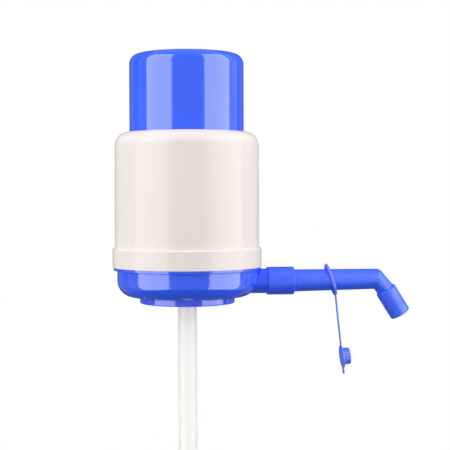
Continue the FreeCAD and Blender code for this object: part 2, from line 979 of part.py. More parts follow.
def main():
    os.makedirs("parts", exist_ok=True)
    save("base_collar", base_collar())
    save("neck_seal", neck_seal())
    save("water_gallery", water_gallery())
    save("downpipe_seal", downpipe_seal())
    save("tube_seal", tube_seal())
    save("foot_plate", foot_plate())
    save("foot_ring", foot_ring())
    save("foot_screws", foot_screws())
    save("bottle_flap", valve_flap(plenum_top_z))
    save("bellows", bellows())
    save("head_ring", head_ring())
    save("head_plate", head_plate())
    save("head_screws", head_screws())
    save("intake_flap", valve_flap(head_plate_z))
    save("upper_housing", upper_housing())
    save("push_cap", push_cap())
    save("nipple_seal", nipple_seal())
    save("spout_coupling", spout_coupling())
    save("spout_tube", spout_tube())
    save("spout_seals", spout_seals())
    save("spout_nozzle", spout_nozzle())
    save("tether_ring", tether_ring())
    save("tether_strap", tether_strap())
    save("spout_plug", spout_plug())
    for index in range(tube_count):
        save("dip_tube_%d" % (index + 1), dip_tube(index))
    for index in range(tube_count - 1):
        save("tube_joiner_%d" % (index + 1), tube_joiner(index))
    print("cap at full stroke ends at z", round(stop_top_z - stop_height - stroke, 2))


main()
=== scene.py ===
"""Blender add-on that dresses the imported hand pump.

It makes the pieces that show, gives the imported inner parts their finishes, and sets up the studio.
"""

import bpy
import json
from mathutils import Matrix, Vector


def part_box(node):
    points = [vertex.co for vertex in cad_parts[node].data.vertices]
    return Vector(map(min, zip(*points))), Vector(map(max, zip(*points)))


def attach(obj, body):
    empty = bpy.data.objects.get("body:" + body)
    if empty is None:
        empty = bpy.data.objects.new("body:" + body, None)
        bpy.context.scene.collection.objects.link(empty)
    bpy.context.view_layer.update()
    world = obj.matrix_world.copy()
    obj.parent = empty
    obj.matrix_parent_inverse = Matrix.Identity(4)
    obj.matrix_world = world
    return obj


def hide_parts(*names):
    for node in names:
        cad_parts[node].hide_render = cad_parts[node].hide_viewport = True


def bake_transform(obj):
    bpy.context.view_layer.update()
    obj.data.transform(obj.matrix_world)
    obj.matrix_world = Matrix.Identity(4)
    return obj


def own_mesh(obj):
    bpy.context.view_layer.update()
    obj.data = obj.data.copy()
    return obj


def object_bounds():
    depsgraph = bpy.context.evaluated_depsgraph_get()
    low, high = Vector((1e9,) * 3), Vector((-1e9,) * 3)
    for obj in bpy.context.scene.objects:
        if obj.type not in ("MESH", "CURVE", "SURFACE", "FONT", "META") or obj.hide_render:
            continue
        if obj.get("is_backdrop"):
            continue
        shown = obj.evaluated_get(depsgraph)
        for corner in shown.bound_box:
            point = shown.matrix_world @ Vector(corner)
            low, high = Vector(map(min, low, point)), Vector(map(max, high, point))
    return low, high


bl_info = {
    "name": "Bottle hand pump",
    "version": (1, 0, 0),
    "blender": (4, 5, 0),
    "location": "3D View > Sidebar > Hand Pump",
    "description": "Models the visible pieces of a hand pump for a large water bottle and its studio",
    "category": "Object",
}

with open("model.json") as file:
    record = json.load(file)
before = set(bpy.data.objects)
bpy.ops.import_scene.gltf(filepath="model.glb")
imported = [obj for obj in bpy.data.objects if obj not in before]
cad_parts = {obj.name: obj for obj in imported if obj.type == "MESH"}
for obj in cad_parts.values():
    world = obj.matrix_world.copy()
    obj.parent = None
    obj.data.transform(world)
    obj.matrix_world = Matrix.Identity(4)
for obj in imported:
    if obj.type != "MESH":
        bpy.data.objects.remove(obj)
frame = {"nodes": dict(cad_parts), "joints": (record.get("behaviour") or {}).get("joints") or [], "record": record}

import json
import math

import bmesh
import bpy
from bpy.props import FloatProperty, FloatVectorProperty, IntProperty, PointerProperty
from mathutils import Matrix, Quaternion, Vector

MM = 0.001
MERGE = 1e-7
NEAR = 1e-6
EDGE = 0.3 * MM
PLAY = 0.05 * MM
PIPE_STEPS = 96
SMALL_STEPS = 72
BEND_STEPS = 8
SMOOTH_ANGLE = math.radians(38)
X_AXIS = Vector((1, 0, 0))
Y_AXIS = Vector((0, 1, 0))
Z_AXIS = Vector((0, 0, 1))

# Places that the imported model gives

CAP_LOW, CAP_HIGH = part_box("push_cap")
HOUSING_LOW, HOUSING_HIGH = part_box("upper_housing")
BELLOWS_LOW, BELLOWS_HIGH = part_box("bellows")
COUPLING_LOW, COUPLING_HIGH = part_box("spout_coupling")
SPOUT_LOW, SPOUT_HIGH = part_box("spout_tube")
MOUNTS = {m["name"]: m for m in frame["record"]["mounts"]}
JOINTS = {j["name"]: j for j in frame["joints"]}
NOZZLE = MOUNTS["nozzle_outside"]["dims"]
NOZZLE_AXIS = Vector(MOUNTS["nozzle_outside"]["axis"])
NOZZLE_ENDS = 1.6 * MM  # the mount stops short of the nozzle's two ends
NOZZLE_LENGTH = NOZZLE["length_mm"] * MM + NOZZLE_ENDS
NOZZLE_START = Vector(MOUNTS["nozzle_outside"]["pos_m"]) - NOZZLE_AXIS * (NOZZLE_LENGTH / 2)
MOUTH_RADIUS = MOUNTS["nozzle_mouth"]["dims"]["r_mm"] * MM
RING_CENTRE = Vector(JOINTS["ring_turn"]["pos_m"])
STRAP_PIVOT = Vector(JOINTS["strap_bend"]["pos_m"])
PLUG_PIVOT = Vector(JOINTS["plug_bend"]["pos_m"])
STRAP_DOWN = (PLUG_PIVOT - STRAP_PIVOT).normalized()
STRAP_OUT = STRAP_DOWN.cross(Y_AXIS)
SPOUT_Z = (COUPLING_LOW.z + COUPLING_HIGH.z) / 2


# Sizes and colours that a user would change

def length(name, description, default):
    return FloatProperty(
        name=name, description=description, default=default, min=0, precision=5,
        unit="LENGTH", subtype="DISTANCE",
    )


def colour(name, description, default):
    return FloatVectorProperty(
        name=name, description=description, default=default, min=0, max=1, size=3, subtype="COLOR",
    )


class PumpSizes(bpy.types.PropertyGroup):
    round_steps: IntProperty(
        name="Steps around", description="Faces around each turned piece", default=144, min=24, max=512,
    )
    fillet_steps: IntProperty(
        name="Steps in a fillet", description="Faces across each rounded corner", default=8, min=2, max=24,
    )
    cap_radius: length("Cap radius", "Outside of the press cap's wall", 37.95 * MM)
    cap_wall: length("Cap wall", "Thickness of the press cap", 2 * MM)
    cap_fillet: length("Cap fillet", "Rounding of the press cap's top edge", 6.5 * MM)
    stop_height: length("Stop height", "Height of the flange that stops the cap", 2.4 * MM)
    rib_height: length("Rib height", "Depth of the ribs under the cap's roof", 3 * MM)
    rib_width: length("Rib width", "Thickness of the ribs under the cap's roof", 1.6 * MM)
    rib_start: length("Rib start", "Distance of the ribs from the cap's axis", 12 * MM)
    cap_play: length("Cap play", "Gap between the press cap and the housing", 0.4 * MM)
    housing_radius: length("Housing radius", "Outside of the housing above its band", 48.05 * MM)
    housing_draft: length("Housing draft", "How much narrower the housing is at its top", 0.2 * MM)
    housing_wall: length("Housing wall", "Thickness of the housing", 2.2 * MM)
    shoulder_fillet: length("Shoulder fillet", "Rounding of the housing's shoulder", 9 * MM)
    guide_depth: length("Guide depth", "Length of the sleeve that guides the cap", 14 * MM)
    guide_wall: length("Guide wall", "Thickness of the sleeve that guides the cap", 2 * MM)
    band_height: length("Band height", "Height of the band at the housing's foot", 12.8 * MM)
    band_edge: length("Band edge", "Rounding of the band's upper edge", 0.9 * MM)
    spigot_radius: length("Spigot radius", "Inside of the housing's foot", 46.6 * MM)
    spigot_height: length("Spigot height", "Height of the housing's foot", 8.5 * MM)
    crest_radius: length("Crest radius", "Outside of the bellows' folds", 34 * MM)
    root_radius: length("Root radius", "Bellows between two folds", 27.5 * MM)
    bellows_wall: length("Bellows wall", "Thickness of the bellows", 1.3 * MM)
    bellows_neck: length("Bellows neck", "Straight stretch at each end of the bellows", 6 * MM)
    lip_height: length("Lip height", "Thickness of the bellows' lips", 1.6 * MM)
    head_lip: length("Head lip", "Width of the bellows' upper lip", 2.2 * MM)
    folds: IntProperty(
        name="Folds", description="Number of folds of the bellows", default=10, min=2, max=30,
    )
    coupling_edge: length("Coupling edge", "Rounding of the coupling's outer edge", 0.6 * MM)
    coupling_neck: length("Coupling neck", "Length of the coupling's narrow bore", 8.8 * MM)
    spout_wall: length("Spout wall", "Thickness of the spout", 1.8 * MM)
    spout_end_radius: length("Spout end radius", "Outside of the spout at its bend", 6.85 * MM)
    bend_x: length("Bend place", "Distance of the spout's bend from the dip tube's axis", 128.3 * MM)
    spout_rise: length("Spout rise", "Height that the spout gains up to its bend", 0.5 * MM)
    hinge_height: length("Bend hinge", "Height over the axis about which the spout's top bends", 2 * MM)
    inner_lean: FloatProperty(
        name="Inner lean", description="How far the bend's inner corner lies back from its hinge",
        default=math.radians(8.8), subtype="ANGLE",
    )
    bent_radius: length("Bent radius", "Outside of the bent end where the nozzle starts", 6 * MM)
    bent_end_radius: length("Bent end radius", "Outside of the bent end's tip", 5.55 * MM)
    nozzle_overlap: length("Nozzle overlap", "How far the nozzle reaches over the bent end", 8.6 * MM)
    nozzle_edge: length("Nozzle edge", "Rounding of the nozzle's outer end", 1.1 * MM)
    nozzle_rib: length("Nozzle rib", "Thickness of the stop inside the nozzle", 1.2 * MM)
    ring_height: length("Ring height", "Half of the tether ring's inner height", 10.05 * MM)
    ring_width: length("Ring width", "Half of the tether ring's inner width", 7.95 * MM)
    ring_band: length("Ring band", "Thickness of the tether ring", 1.2 * MM)
    ring_breadth: length("Ring breadth", "Breadth of the tether ring along the spout", 1.8 * MM)
    strap_width: length("Strap width", "Width of the strap", 3 * MM)
    strap_thickness: length("Strap thickness", "Thickness of the strap", 0.8 * MM)
    hinge_gap: length("Hinge gap", "Length of the thin stretches that bend", 0.5 * MM)
    disc_radius: length("Disc radius", "Radius of the plug's disc", 7.7 * MM)
    disc_thickness: length("Disc thickness", "Thickness of the plug's disc", 1 * MM)
    tab_length: length("Tab length", "Length of the pull tab under the disc", 4 * MM)
    plug_radius: length("Plug radius", "Outside of the plug", 5.6 * MM)
    plug_depth: length("Plug depth", "Depth of the plug", 4.8 * MM)
    plug_wall: length("Plug wall", "Thickness of the plug", 1.3 * MM)
    tube_wall: length("Tube wall", "Thickness of the dip tube", 1.1 * MM)


class PumpColours(bpy.types.PropertyGroup):
    blue: colour("Blue", "Cap, collar and spout", (0.020, 0.108, 0.93))
    blue_shade: colour("Blue shade", "Deeper streaks in the blue plastic", (0.015, 0.092, 0.88))
    ivory: colour("Ivory", "Housing", (0.80, 0.742, 0.716))
    ivory_shade: colour("Ivory shade", "Warmer clouds in the housing's plastic", (0.785, 0.715, 0.685))
    tether: colour("Tether", "Ring, strap and plug, thinner and paler than the spout", (0.15, 0.225, 0.90))
    tube: colour("Tube", "Dip tube and its joiners", (0.97, 0.962, 0.945))
    bellows: colour("Bellows", "Milky wall of the bellows", (0.80, 0.81, 0.79))
    inner: colour("Inner plastic", "Plates, clamp rings and the water gallery", (0.72, 0.73, 0.72))
    seal: colour("Seal rubber", "O-rings and the neck's flat ring", (0.035, 0.035, 0.037))
    valve: colour("Valve rubber", "Flaps of the two valves", (0.42, 0.055, 0.04))
    steel: colour("Steel", "Zinc-plated screws", (0.62, 0.63, 0.64))


class PumpStudio(bpy.types.PropertyGroup):
    camera_distance: length("Camera distance", "From the camera to the pump's axis", 786.7 * MM)
    camera_height: length("Camera height", "Height of the camera above the neck's mouth", 73.4 * MM)
    camera_turn: FloatProperty(
        name="Camera turn", description="How far the spout points away from the camera",
        default=math.radians(4), subtype="ANGLE",
    )
    camera_swing: FloatProperty(
        name="Camera swing", description="Aim of the camera to the right of the pump's axis",
        default=math.radians(1.84), subtype="ANGLE",
    )
    camera_tilt: FloatProperty(
        name="Camera tilt", description="Aim of the camera below the horizon",
        default=math.radians(1.58), subtype="ANGLE",
    )
    camera_roll: FloatProperty(
        name="Camera roll", description="Turn of the camera about its own aim",
        default=math.radians(-0.2), subtype="ANGLE",
    )
    camera_lens: FloatProperty(
        name="Lens", description="Focal length for a 36 mm sensor", default=94.4, unit="CAMERA",
    )
    room_light: FloatProperty(
        name="Room light", description="Even light from all around", default=0.88, min=0,
    )
    box_light: FloatProperty(
        name="Softbox light", description="Power of each of the two large side lamps", default=5.1, min=0,
        subtype="POWER",
    )
    top_light: FloatProperty(
        name="Top light", description="Power of the lamp overhead", default=3.5, min=0, subtype="POWER",
    )
    gleam: FloatProperty(
        name="Gleam", description="Brightness of the softboxes in glossy surfaces", default=6.6, min=0,
    )
    card_distance: length("Card distance", "From the pump's axis to the cards that it mirrors", 0.55)
    card_foot: FloatProperty(
        name="Card foot", description="Height of the cards' lower edge above the neck's mouth",
        default=-0.345, unit="LENGTH", subtype="DISTANCE",
    )
    card_top: length("Card top", "Height of the cards' upper edge above the neck's mouth", 0.84)


# Modelling tools

def round_ring(bm, corner, before, after, steps):
    """Rounds the ring of edges that a corner of the outline made."""
    here = Vector(corner[:2])
    half = (Vector(before[:2]) - here).angle(Vector(after[:2]) - here) / 2
    ring = [
        e for e in bm.edges
        if all(abs(v.co.xy.length - here.x) < NEAR and abs(v.co.z - here.y) < NEAR for v in e.verts)
    ]
    bmesh.ops.bevel(
        bm, geom=ring, offset=corner[2] / math.tan(half), offset_type="OFFSET", segments=steps,
        profile=0.5, affect="EDGES", material=-1, clamp_overlap=False,
    )


def turned(corners, sizes, steps=0):
    """A shell turned about Z from (radius, height) corners. A third number rounds the corner."""
    bm = bmesh.new()
    ring = [bm.verts.new((corner[0], 0, corner[1])) for corner in corners]
    closed = corners[0][0] > 0 or corners[-1][0] > 0
    edges = [bm.edges.new(pair) for pair in zip(ring, ring[1:])]
    if closed:
        edges.append(bm.edges.new((ring[-1], ring[0])))
    bmesh.ops.spin(
        bm, geom=ring + edges, cent=(0, 0, 0), axis=Z_AXIS, dvec=(0, 0, 0), angle=math.tau,
        steps=steps or sizes.round_steps, use_merge=True,
    )
    bmesh.ops.remove_doubles(bm, verts=bm.verts, dist=MERGE)
    for i, corner in enumerate(corners):
        if len(corner) > 2:
            following = corners[(i + 1) % len(corners)]
            round_ring(bm, corner, corners[i - 1], following, sizes.fillet_steps)
    return bm


def along(start, direction):
    """Matrix that lays a piece modelled about Z along a direction."""
    return Matrix.Translation(start) @ Z_AXIS.rotation_difference(direction).to_matrix().to_4x4()


def strap_frame():
    """Matrix of the strap's plane: X down the strap, Y across it, Z out of its face."""
    turn = Matrix((STRAP_DOWN, Y_AXIS, STRAP_OUT)).transposed().to_4x4()
    return Matrix.Translation(STRAP_PIVOT) @ turn


def block(bm, x0, x1, width, z0, z1, matrix=Matrix.Identity(4)):
    """A box that is centred across Y."""
    middle = Matrix.Translation(((x0 + x1) / 2, 0, (z0 + z1) / 2))
    size = Matrix.Diagonal((x1 - x0, width, z1 - z0, 1))
    return bmesh.ops.create_cube(bm, size=1, matrix=matrix @ middle @ size)["verts"]


def meshed(bm, name):
    """Turns the working mesh into a named one."""
    mesh = bpy.data.meshes.new(name)
    bm.to_mesh(mesh)
    bm.free()
    return mesh


def add_shell(bm, other):
    """Moves another shell into a mesh."""
    mesh = meshed(other, "shell")
    bm.from_mesh(mesh)
    bpy.data.meshes.remove(mesh)


def chamfered(bm, edges, reach, steps):
    """Rounds some edges."""
    bmesh.ops.bevel(
        bm, geom=edges, offset=reach, offset_type="OFFSET", segments=steps, profile=0.5,
        affect="EDGES", material=-1,
    )


def rounded_card(bm, width, height, reach, steps):
    """A flat card about the origin, with round corners."""
    bmesh.ops.create_grid(bm, x_segments=1, y_segments=1, size=0.5)
    bmesh.ops.scale(bm, vec=(width, height, 1), verts=bm.verts)
    bmesh.ops.bevel(
        bm, geom=bm.verts[:], offset=reach, offset_type="OFFSET", segments=steps, profile=0.5,
        affect="VERTICES", material=-1,
    )


def ends_of(edges):
    """The corners of some edges, each one once."""
    return list(dict.fromkeys(v for e in edges for v in e.verts))


def ring_of_edges(bm, place, radius):
    """Draws a circle round a frame's X axis, and gives back its edges."""
    upright = place @ Matrix.Rotation(math.pi / 2, 4, "Y")
    made = bmesh.ops.create_circle(bm, segments=PIPE_STEPS, radius=radius, matrix=upright)
    return list(dict.fromkeys(e for v in made["verts"] for e in v.link_edges))


def bridged(bm, rings):
    """Skins each ring of edges to the next one."""
    for before, after in zip(rings, rings[1:]):
        bmesh.ops.bridge_loops(bm, edges=before + after)


def merged_copy(node):
    """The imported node's own shape, with its loose triangles joined so that it can be shaded smooth."""
    bm = bmesh.new()
    bm.from_mesh(frame["nodes"][node].data)
    bmesh.ops.remove_doubles(bm, verts=bm.verts, dist=NEAR)
    return bm


def finished(bm, name, material, nodes=(), body=None, outward=True):
    """Makes the object and shades it, puts it under its body, and hides the imported nodes that it stands for."""
    bmesh.ops.remove_doubles(bm, verts=bm.verts, dist=MERGE)
    if outward:
        bmesh.ops.recalc_face_normals(bm, faces=bm.faces)
    mesh = meshed(bm, name)
    mesh.shade_smooth()
    mesh.set_sharp_from_angle(angle=SMOOTH_ANGLE)
    mesh.materials.append(material)
    piece = bpy.data.objects.new(name, mesh)
    bpy.context.scene.collection.objects.link(piece)
    even = piece.modifiers.new("even_normals", "WEIGHTED_NORMAL")
    even.keep_sharp = True
    if body:
        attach(piece, body)
    if nodes:
        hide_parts(*nodes)
    return piece


# Finishes

def new_finish(name):
    """A material with one shader, and its node tree."""
    material = bpy.data.materials.new(name + "_finish")
    material.use_nodes = True
    tree = material.node_tree
    tree.nodes.clear()
    shader = tree.nodes.new("ShaderNodeBsdfPrincipled")
    output = tree.nodes.new("ShaderNodeOutputMaterial")
    tree.links.new(shader.outputs["BSDF"], output.inputs["Surface"])
    return material, tree, shader


def clouds(tree, scale, detail=2.0, stretch=(1, 1, 1)):
    """Noise in object space; the scale counts features per metre."""
    place = tree.nodes.new("ShaderNodeTexCoord")
    mapping = tree.nodes.new("ShaderNodeMapping")
    mapping.inputs["Scale"].default_value = stretch
    noise = tree.nodes.new("ShaderNodeTexNoise")
    noise.inputs["Scale"].default_value = scale
    noise.inputs["Detail"].default_value = detail
    tree.links.new(place.outputs["Object"], mapping.inputs["Vector"])
    tree.links.new(mapping.outputs["Vector"], noise.inputs["Vector"])
    return noise.outputs["Fac"]


def spread(tree, value, low, high, socket):
    """Brings a noise to a range and into a socket."""
    ranged = tree.nodes.new("ShaderNodeMapRange")
    ranged.inputs["From Min"].default_value = 0.3
    ranged.inputs["From Max"].default_value = 0.7
    ranged.inputs["To Min"].default_value = low
    ranged.inputs["To Max"].default_value = high
    tree.links.new(value, ranged.inputs["Value"])
    tree.links.new(ranged.outputs["Result"], socket)


def two_tone(tree, value, first, second, socket):
    """Mixes two colours by a noise."""
    mix = tree.nodes.new("ShaderNodeMix")
    mix.data_type = "RGBA"
    colours = [s for s in mix.inputs if s.type == "RGBA"]
    colours[0].default_value = (*first, 1)
    colours[1].default_value = (*second, 1)
    spread(tree, value, 0, 1, mix.inputs["Factor"])
    tree.links.new(next(s for s in mix.outputs if s.type == "RGBA"), socket)


def relief(tree, value, depth, strength, shader):
    """Raises a noise as fine relief."""
    bump = tree.nodes.new("ShaderNodeBump")
    bump.inputs["Distance"].default_value = depth
    bump.inputs["Strength"].default_value = strength
    tree.links.new(value, bump.inputs["Height"])
    tree.links.new(bump.outputs["Normal"], shader.inputs["Normal"])


def moulded_plastic(name, light, shade, roughness, gloss, grain):
    """Moulded plastic: faint flow clouds, a slightly uneven gloss and a fine skin."""
    material, tree, shader = new_finish(name)
    flow = clouds(tree, scale=24, detail=3, stretch=(1, 1, 0.35))
    wear = clouds(tree, scale=180, detail=4)
    skin = clouds(tree, scale=900, detail=2)
    two_tone(tree, flow, light, shade, shader.inputs["Base Color"])
    spread(tree, wear, roughness * 0.8, roughness * 1.25, shader.inputs["Roughness"])
    relief(tree, skin, grain, 0.25, shader)
    shader.inputs["Specular IOR Level"].default_value = gloss
    return material


def tether_plastic(colours):
    """Soft plastic of the tether and plug, into which the light goes a little."""
    material = moulded_plastic(
        "tether_plastic", colours.tether, colours.blue, roughness=0.4, gloss=0.5, grain=0.01 * MM
    )
    shader = material.node_tree.nodes["Principled BSDF"]
    shader.inputs["Subsurface Weight"].default_value = 0.35
    shader.inputs["Subsurface Radius"].default_value = (0.4, 0.5, 1)
    shader.inputs["Subsurface Scale"].default_value = 1 * MM
    return material


def milky_plastic(name, light, roughness):
    """Thin translucent plastic of the dip tube and the bellows."""
    shade = [c * 0.98 for c in light]
    material = moulded_plastic(name, light, shade, roughness, gloss=0.35, grain=0.002 * MM)
    shader = material.node_tree.nodes["Principled BSDF"]
    shader.inputs["Transmission Weight"].default_value = 0.8
    shader.inputs["IOR"].default_value = 1.45
    return material


def rubber(name, light):
    """Matte rubber with a dusty bloom."""
    material, tree, shader = new_finish(name)
    bloom = [c * 1.5 + 0.01 for c in light]
    dust = clouds(tree, scale=300, detail=5)
    wear = clouds(tree, scale=700, detail=3)
    grain = clouds(tree, scale=3000, detail=3)
    two_tone(tree, dust, light, bloom, shader.inputs["Base Color"])
    spread(tree, wear, 0.55, 0.8, shader.inputs["Roughness"])
    relief(tree, grain, 0.03 * MM, 0.5, shader)
    return material


def screw_steel(colours):
    """Zinc plating, brushed by the tool that drove the screws."""
    material, tree, shader = new_finish("screw_steel")
    dull = [c * 0.8 for c in colours.steel]
    spots = clouds(tree, scale=800, detail=4)
    brushing = clouds(tree, scale=1500, detail=3, stretch=(1, 1, 8))
    grain = clouds(tree, scale=4000, detail=2)
    two_tone(tree, spots, colours.steel, dull, shader.inputs["Base Color"])
    spread(tree, brushing, 0.22, 0.42, shader.inputs["Roughness"])
    relief(tree, grain, 0.01 * MM, 0.4, shader)
    shader.inputs["Metallic"].default_value = 1
    return material


def finish(name):
    """A finish by its name, made the first time that it is asked for."""
    made = bpy.data.materials.get(name + "_finish")
    if made:
        return made
    colours = bpy.context.scene.pump_colours
    # Colour, shaded colour, roughness, gloss and depth of the grain. The small blue parts are satin,
    # because a sharp gloss would break up into grain on them
    moulded = {
        "blue_plastic": (colours.blue, colours.blue_shade, 0.09, 0.5, 0.006 * MM),
        "satin_blue_plastic": (colours.blue, colours.blue_shade, 0.36, 0.5, 0.006 * MM),
        "ivory_plastic": (colours.ivory, colours.ivory_shade, 0.2, 0.13, 0.01 * MM),
        "inner_plastic": (colours.inner, [c * 0.93 for c in colours.inner], 0.35, 0.4, 0.02 * MM),
    }
    if name in moulded:
        return moulded_plastic(name, *moulded[name])
    makers = {
        "tether_plastic": lambda: tether_plastic(colours),
        "tube_plastic": lambda: milky_plastic("tube_plastic", colours.tube, roughness=0.5),
        "bellows_plastic": lambda: milky_plastic("bellows_plastic", colours.bellows, roughness=0.35),
        "seal_rubber": lambda: rubber("seal_rubber", colours.seal),
        "valve_rubber": lambda: rubber("valve_rubber", colours.valve),
        "screw_steel": lambda: screw_steel(colours),
    }
    return makers[name]()


# Pieces

class PUMP_OT_push_cap(bpy.types.Operator):
    """Turn the press cap and put the ribs under its roof"""

    bl_idname = "pump.push_cap"
    bl_label = "Press Cap"
    bl_options = {"REGISTER", "UNDO"}

    def execute(self, context):
        s = context.scene.pump_sizes
        outer = s.cap_radius
        inner = outer - s.cap_wall
        roof_z = CAP_HIGH.z - s.cap_wall
        stop_top_z = CAP_LOW.z + s.stop_height
        stop_edge = 0.4 * MM
        bm = turned([
            (0, roof_z),
            (inner, roof_z, s.cap_fillet - s.cap_wall),
            (inner, CAP_LOW.z),
            (CAP_HIGH.x, CAP_LOW.z, stop_edge),
            (CAP_HIGH.x, stop_top_z, stop_edge),
            (outer, stop_top_z),
            (outer, CAP_HIGH.z, s.cap_fillet),
            (0, CAP_HIGH.z),
        ], s)
        ribs = 8
        for i in range(ribs):
            turn = Matrix.Rotation(math.tau * (i + 0.5) / ribs, 4, "Z")
            foot_z = roof_z - s.rib_height
            reach = inner - s.cap_fillet + s.cap_wall
            block(bm, s.rib_start, reach, s.rib_width, foot_z, roof_z + s.cap_wall / 2, turn)
        finished(bm, "cap_shell", finish("blue_plastic"), ["push_cap"], "cap")
        return {"FINISHED"}


class PUMP_OT_upper_housing(bpy.types.Operator):
    """Turn the housing with its shoulder, its foot band and the sleeve that guides the cap"""

    bl_idname = "pump.upper_housing"
    bl_label = "Housing"
    bl_options = {"REGISTER", "UNDO"}

    def execute(self, context):
        s = context.scene.pump_sizes
        foot_z = HOUSING_LOW.z
        top_z = HOUSING_HIGH.z
        band_top_z = foot_z + s.band_height
        step_z = foot_z + s.spigot_height
        opening = s.cap_radius + s.cap_play
        guide = opening + s.guide_wall
        top_radius = s.housing_radius - s.housing_draft
        inner = top_radius - s.housing_wall
        mouth_edge = 0.45 * MM
        inner_fillet = 2 * MM
        spigot_cone = 1 * MM
        bm = turned([
            (s.spigot_radius, foot_z),
            (HOUSING_HIGH.x, foot_z, EDGE),
            (HOUSING_HIGH.x, band_top_z, s.band_edge),
            (s.housing_radius, band_top_z, EDGE),
            (top_radius, top_z, s.shoulder_fillet),
            (opening, top_z, mouth_edge),
            (opening, top_z - s.guide_depth),
            (guide, top_z - s.guide_depth),
            (guide, top_z - s.housing_wall),
            (inner, top_z - s.housing_wall, inner_fillet),
            (inner, step_z + spigot_cone),
            (s.spigot_radius, step_z),
        ], s)
        finished(
            bm, "housing_shell", finish("ivory_plastic"), ["upper_housing"], "pump_base"
        )
        return {"FINISHED"}


class PUMP_OT_bellows(bpy.types.Operator):
    """Turn the bellows with round folds"""

    bl_idname = "pump.bellows"
    bl_label = "Bellows"
    bl_options = {"REGISTER", "UNDO"}

    def execute(self, context):
        s = context.scene.pump_sizes
        low = BELLOWS_LOW.z
        high = BELLOWS_HIGH.z
        pitch = (high - low - 2 * s.bellows_neck) / s.folds
        rounding = pitch * 0.12
        lip_edge = 0.5 * MM
        outside = [
            (BELLOWS_HIGH.x, low),
            (BELLOWS_HIGH.x, low + s.lip_height, lip_edge),
            (s.root_radius, low + s.lip_height, lip_edge),
        ]
        inside = [(s.root_radius - s.bellows_wall, low)]
        for fold in range(s.folds):
            foot = low + s.bellows_neck + fold * pitch
            for radius, z in ((s.root_radius, foot), (s.crest_radius, foot + pitch / 2)):
                outside.append((radius, z, rounding))
                inside.append((radius - s.bellows_wall, z, rounding))
        outside += [
            (s.root_radius, high - s.bellows_neck, rounding),
            (s.root_radius, high - s.lip_height, lip_edge),
            (s.root_radius + s.head_lip, high - s.lip_height, lip_edge),
            (s.root_radius + s.head_lip, high),
        ]
        inside += [
            (s.root_radius - s.bellows_wall, high - s.bellows_neck, rounding),
            (s.root_radius - s.bellows_wall, high),
        ]
        bm = turned(outside + inside[::-1], s, PIPE_STEPS)
        folds = finished(
            bm, "bellows_folds", finish("bellows_plastic"), ["bellows"], "pump_base"
        )
        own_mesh(folds)
        return {"FINISHED"}


class PUMP_OT_dip_tube(bpy.types.Operator):
    """Turn the lengths of the dip tube and the sleeves that join them"""

    bl_idname = "pump.dip_tube"
    bl_label = "Dip Tube"
    bl_options = {"REGISTER", "UNDO"}

    def execute(self, context):
        s = context.scene.pump_sizes
        sleeve_edge = 0.9 * MM
        for index in (1, 2):
            node = "dip_tube_%d" % index
            low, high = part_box(node)
            bm = turned([
                (high.x - s.tube_wall, low.z),
                (high.x, low.z, EDGE),
                (high.x, high.z, EDGE),
                (high.x - s.tube_wall, high.z),
            ], s, SMALL_STEPS)
            name = "tube_length_%d" % index
            finished(bm, name, finish("tube_plastic"), [node], "pump_base")
            node = "tube_joiner_%d" % index
            sleeve_low, sleeve_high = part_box(node)
            bm = turned([
                (high.x + PLAY, sleeve_low.z),
                (sleeve_high.x, sleeve_low.z, sleeve_edge),
                (sleeve_high.x, sleeve_high.z, sleeve_edge),
                (high.x + PLAY, sleeve_high.z),
            ], s, SMALL_STEPS)
            name = "tube_sleeve_%d" % index
            finished(bm, name, finish("tube_plastic"), [node], "pump_base")
        bm = merged_copy("dip_tube_3")
        finished(
            bm, "tube_length_3", finish("tube_plastic"), ["dip_tube_3"], "pump_base", False
        )
        return {"FINISHED"}


class PUMP_OT_coupling(bpy.types.Operator):
    """Turn the sleeve that couples the spout to the outlet stub"""

    bl_idname = "pump.coupling"
    bl_label = "Coupling"
    bl_options = {"REGISTER", "UNDO"}

    def execute(self, context):
        s = context.scene.pump_sizes
        radius = COUPLING_HIGH.y
        reach = COUPLING_HIGH.x - COUPLING_LOW.x
        wide = SPOUT_HIGH.y + PLAY
        narrow = radius - 3.08 * MM
        stub_edge = 0.25 * MM
        mouth_edge = 0.2 * MM
        bm = turned([
            (narrow, 0),
            (radius, 0, stub_edge),
            (radius, reach, s.coupling_edge),
            (wide, reach, mouth_edge),
            (wide, s.coupling_neck),
            (narrow, s.coupling_neck),
        ], s, PIPE_STEPS)
        place = along((COUPLING_LOW.x, 0, SPOUT_Z), X_AXIS)
        bmesh.ops.transform(bm, matrix=place, verts=bm.verts)
        satin = finish("satin_blue_plastic")
        finished(bm, "coupling_sleeve", satin, ["spout_coupling"], "pump_base")
        return {"FINISHED"}


